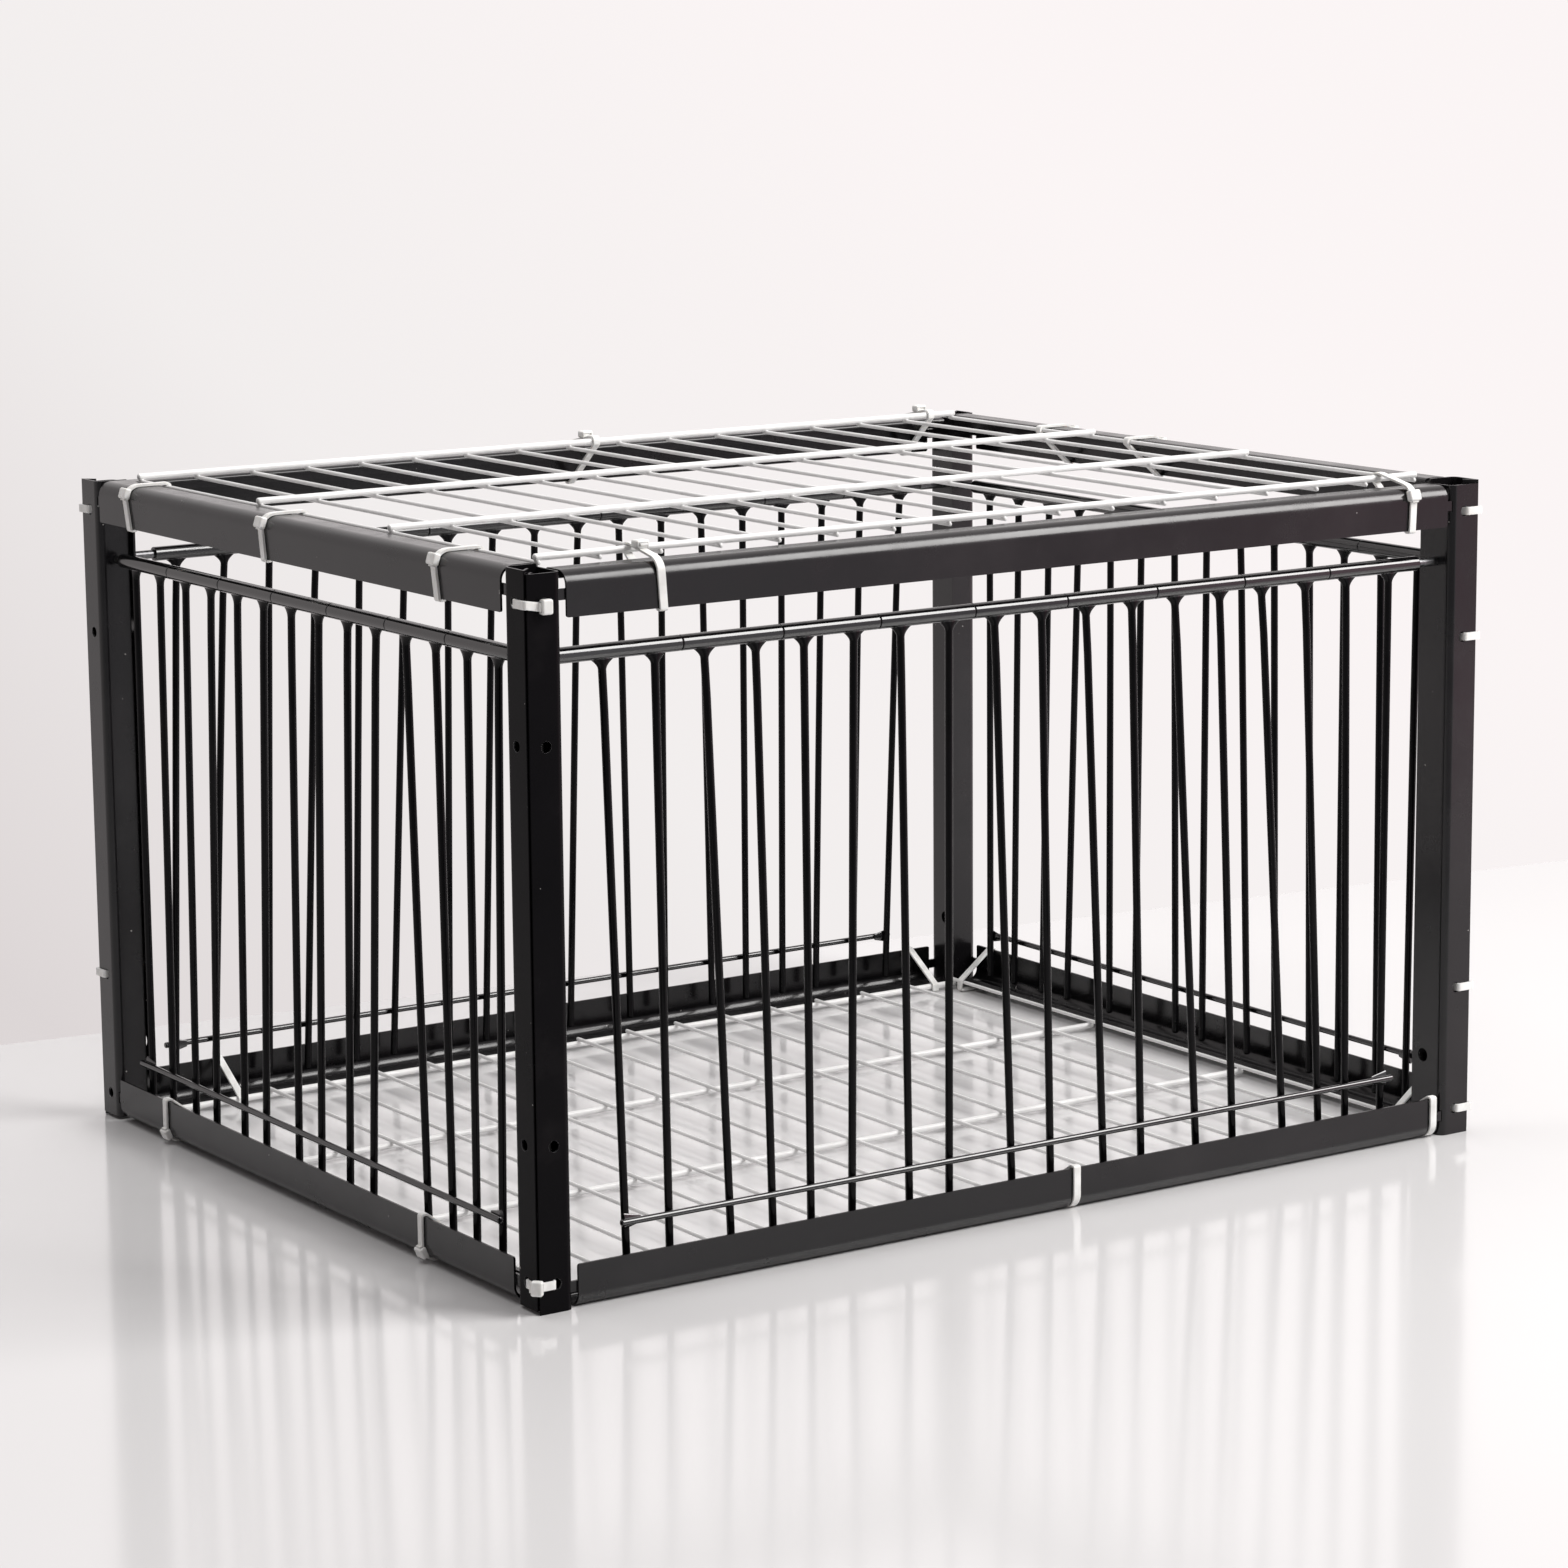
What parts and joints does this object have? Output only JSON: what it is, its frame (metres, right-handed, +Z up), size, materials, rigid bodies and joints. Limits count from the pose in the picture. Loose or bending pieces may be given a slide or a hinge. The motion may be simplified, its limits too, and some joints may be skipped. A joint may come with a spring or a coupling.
{
  "type": "pigeon trap cage",
  "caption": "Rectangular trap cage with dark folded-steel panels, swinging bar bobs on all sides that open inwards only, and white wire mesh tied on as roof and floor.",
  "frame": {"origin": "centre of the footprint, on the surface that the cage stands on", "axes": "+X along the long panels, +Y from the front panel to the back panel, +Z up"},
  "size_m": [0.5074, 0.4074, 0.3081],
  "materials": {
    "frame_steel": "satin black coat",
    "rod_steel": "satin black coat",
    "bob_plastic": "smooth moulded black",
    "mesh_white": "white dipped coat",
    "tie_nylon": "natural nylon"
  },
  "bodies": {
    "frame": {"front_stile_a": "frame_steel", "front_stile_b": "frame_steel", "front_top_rail": "frame_steel", "front_bottom_rail": "frame_steel", "front_pivot_rod": "rod_steel", "front_stop_bar": "bob_plastic", "front_end_bobs": "bob_plastic", "back_stile_a": "frame_steel", "back_stile_b": "frame_steel", "back_top_rail": "frame_steel", "back_bottom_rail": "frame_steel", "back_pivot_rod": "rod_steel", "back_stop_bar": "bob_plastic", "back_end_bobs": "bob_plastic", "left_stile_a": "frame_steel", "left_stile_b": "frame_steel", "left_top_rail": "frame_steel", "left_bottom_rail": "frame_steel", "left_pivot_rod": "rod_steel", "left_stop_bar": "bob_plastic", "left_end_bobs": "bob_plastic", "right_stile_a": "frame_steel", "right_stile_b": "frame_steel", "right_top_rail": "frame_steel", "right_bottom_rail": "frame_steel", "right_pivot_rod": "rod_steel", "right_stop_bar": "bob_plastic", "right_end_bobs": "bob_plastic", "roof_mesh": "mesh_white", "floor_mesh": "mesh_white", "roof_ties": "tie_nylon", "floor_ties": "tie_nylon", "corner_ties": "tie_nylon"},
    "front_bob_2": {"front_bob_2": "bob_plastic"},
    "front_bob_3": {"front_bob_3": "bob_plastic"},
    "front_bob_4": {"front_bob_4": "bob_plastic"},
    "front_bob_5": {"front_bob_5": "bob_plastic"},
    "front_bob_6": {"front_bob_6": "bob_plastic"},
    "front_bob_7": {"front_bob_7": "bob_plastic"},
    "front_bob_8": {"front_bob_8": "bob_plastic"},
    "back_bob_2": {"back_bob_2": "bob_plastic"},
    "back_bob_3": {"back_bob_3": "bob_plastic"},
    "back_bob_4": {"back_bob_4": "bob_plastic"},
    "back_bob_5": {"back_bob_5": "bob_plastic"},
    "back_bob_6": {"back_bob_6": "bob_plastic"},
    "back_bob_7": {"back_bob_7": "bob_plastic"},
    "back_bob_8": {"back_bob_8": "bob_plastic"},
    "left_bob_2": {"left_bob_2": "bob_plastic"},
    "left_bob_3": {"left_bob_3": "bob_plastic"},
    "left_bob_4": {"left_bob_4": "bob_plastic"},
    "left_bob_5": {"left_bob_5": "bob_plastic"},
    "left_bob_6": {"left_bob_6": "bob_plastic"},
    "right_bob_2": {"right_bob_2": "bob_plastic"},
    "right_bob_3": {"right_bob_3": "bob_plastic"},
    "right_bob_4": {"right_bob_4": "bob_plastic"},
    "right_bob_5": {"right_bob_5": "bob_plastic"},
    "right_bob_6": {"right_bob_6": "bob_plastic"}
  },
  "joints": [
    {"name": "front_bob_2_swing", "type": "hinge", "parent": "frame", "child": "front_bob_2", "pos_m": [-0.1474, -0.19, 0.265], "axis": [1, 0, 0], "range_deg": [0, 53]},
    {"name": "front_bob_3_swing", "type": "hinge", "parent": "frame", "child": "front_bob_3", "pos_m": [-0.0989, -0.19, 0.265], "axis": [1, 0, 0], "range_deg": [0, 53]},
    {"name": "front_bob_4_swing", "type": "hinge", "parent": "frame", "child": "front_bob_4", "pos_m": [-0.0504, -0.19, 0.265], "axis": [1, 0, 0], "range_deg": [0, 53]},
    {"name": "front_bob_5_swing", "type": "hinge", "parent": "frame", "child": "front_bob_5", "pos_m": [-0.0019, -0.19, 0.265], "axis": [1, 0, 0], "range_deg": [0, 53]},
    {"name": "front_bob_6_swing", "type": "hinge", "parent": "frame", "child": "front_bob_6", "pos_m": [0.0466, -0.19, 0.265], "axis": [1, 0, 0], "range_deg": [0, 53]},
    {"name": "front_bob_7_swing", "type": "hinge", "parent": "frame", "child": "front_bob_7", "pos_m": [0.0951, -0.19, 0.265], "axis": [1, 0, 0], "range_deg": [0, 53]},
    {"name": "front_bob_8_swing", "type": "hinge", "parent": "frame", "child": "front_bob_8", "pos_m": [0.1436, -0.19, 0.265], "axis": [1, 0, 0], "range_deg": [0, 53]},
    {"name": "back_bob_2_swing", "type": "hinge", "parent": "frame", "child": "back_bob_2", "pos_m": [0.145, 0.19, 0.265], "axis": [-1, 0, 0], "range_deg": [0, 54]},
    {"name": "back_bob_3_swing", "type": "hinge", "parent": "frame", "child": "back_bob_3", "pos_m": [0.0965, 0.19, 0.265], "axis": [-1, 0, 0], "range_deg": [0, 54]},
    {"name": "back_bob_4_swing", "type": "hinge", "parent": "frame", "child": "back_bob_4", "pos_m": [0.048, 0.19, 0.265], "axis": [-1, 0, 0], "range_deg": [0, 54]},
    {"name": "back_bob_5_swing", "type": "hinge", "parent": "frame", "child": "back_bob_5", "pos_m": [-0.0005, 0.19, 0.265], "axis": [-1, 0, 0], "range_deg": [0, 54]},
    {"name": "back_bob_6_swing", "type": "hinge", "parent": "frame", "child": "back_bob_6", "pos_m": [-0.049, 0.19, 0.265], "axis": [-1, 0, 0], "range_deg": [0, 54]},
    {"name": "back_bob_7_swing", "type": "hinge", "parent": "frame", "child": "back_bob_7", "pos_m": [-0.0975, 0.19, 0.265], "axis": [-1, 0, 0], "range_deg": [0, 54]},
    {"name": "back_bob_8_swing", "type": "hinge", "parent": "frame", "child": "back_bob_8", "pos_m": [-0.146, 0.19, 0.265], "axis": [-1, 0, 0], "range_deg": [0, 54]},
    {"name": "left_bob_2_swing", "type": "hinge", "parent": "frame", "child": "left_bob_2", "pos_m": [-0.24, 0.1016, 0.265], "axis": [0, -1, 0], "range_deg": [0, 53]},
    {"name": "left_bob_3_swing", "type": "hinge", "parent": "frame", "child": "left_bob_3", "pos_m": [-0.24, 0.0512, 0.265], "axis": [0, -1, 0], "range_deg": [0, 53]},
    {"name": "left_bob_4_swing", "type": "hinge", "parent": "frame", "child": "left_bob_4", "pos_m": [-0.24, 0.0008, 0.265], "axis": [0, -1, 0], "range_deg": [0, 53]},
    {"name": "left_bob_5_swing", "type": "hinge", "parent": "frame", "child": "left_bob_5", "pos_m": [-0.24, -0.0496, 0.265], "axis": [0, -1, 0], "range_deg": [0, 53]},
    {"name": "left_bob_6_swing", "type": "hinge", "parent": "frame", "child": "left_bob_6", "pos_m": [-0.24, -0.1, 0.265], "axis": [0, -1, 0], "range_deg": [0, 53]},
    {"name": "right_bob_2_swing", "type": "hinge", "parent": "frame", "child": "right_bob_2", "pos_m": [0.24, -0.1066, 0.265], "axis": [0, 1, 0], "range_deg": [0, 52]},
    {"name": "right_bob_3_swing", "type": "hinge", "parent": "frame", "child": "right_bob_3", "pos_m": [0.24, -0.0562, 0.265], "axis": [0, 1, 0], "range_deg": [0, 52]},
    {"name": "right_bob_4_swing", "type": "hinge", "parent": "frame", "child": "right_bob_4", "pos_m": [0.24, -0.0058, 0.265], "axis": [0, 1, 0], "range_deg": [0, 52]},
    {"name": "right_bob_5_swing", "type": "hinge", "parent": "frame", "child": "right_bob_5", "pos_m": [0.24, 0.0446, 0.265], "axis": [0, 1, 0], "range_deg": [0, 52]},
    {"name": "right_bob_6_swing", "type": "hinge", "parent": "frame", "child": "right_bob_6", "pos_m": [0.24, 0.095, 0.265], "axis": [0, 1, 0], "range_deg": [0, 52]}
  ]
}
